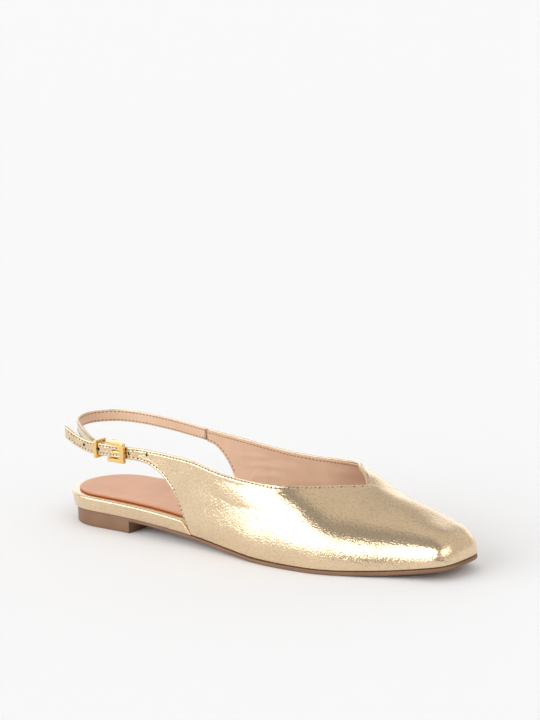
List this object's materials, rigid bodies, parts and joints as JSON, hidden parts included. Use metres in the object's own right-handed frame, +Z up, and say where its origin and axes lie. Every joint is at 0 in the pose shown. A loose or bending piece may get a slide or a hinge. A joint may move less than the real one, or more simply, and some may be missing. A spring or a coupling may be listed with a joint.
{
  "type": "slingback shoe",
  "caption": "Right-foot sling back flat in gold metallic leather with a squared toe, crossed V throat, low heel and a punched heel strap fastened by a buckle",
  "frame": {"origin": "middle of the heel's flat bottom, on the floor", "axes": "+X towards the toe, +Y towards the medial side, +Z up"},
  "size_m": [0.2613, 0.0762, 0.0565],
  "materials": {
    "gold_leather": "champagne gold foil leather, soft gloss",
    "tan_leather": "matt peach tan lining leather",
    "brown_rubber": "matt moulded",
    "gold_brass": "polished gold plate"
  },
  "bodies": {
    "root": {"outsole": "brown_rubber", "footbed": "gold_leather", "sock": "tan_leather", "upper": "gold_leather", "sling_strap": "gold_leather", "buckle_frame": "gold_brass", "buckle_prong": "gold_brass", "keeper": "gold_brass"}
  },
  "joints": []
}
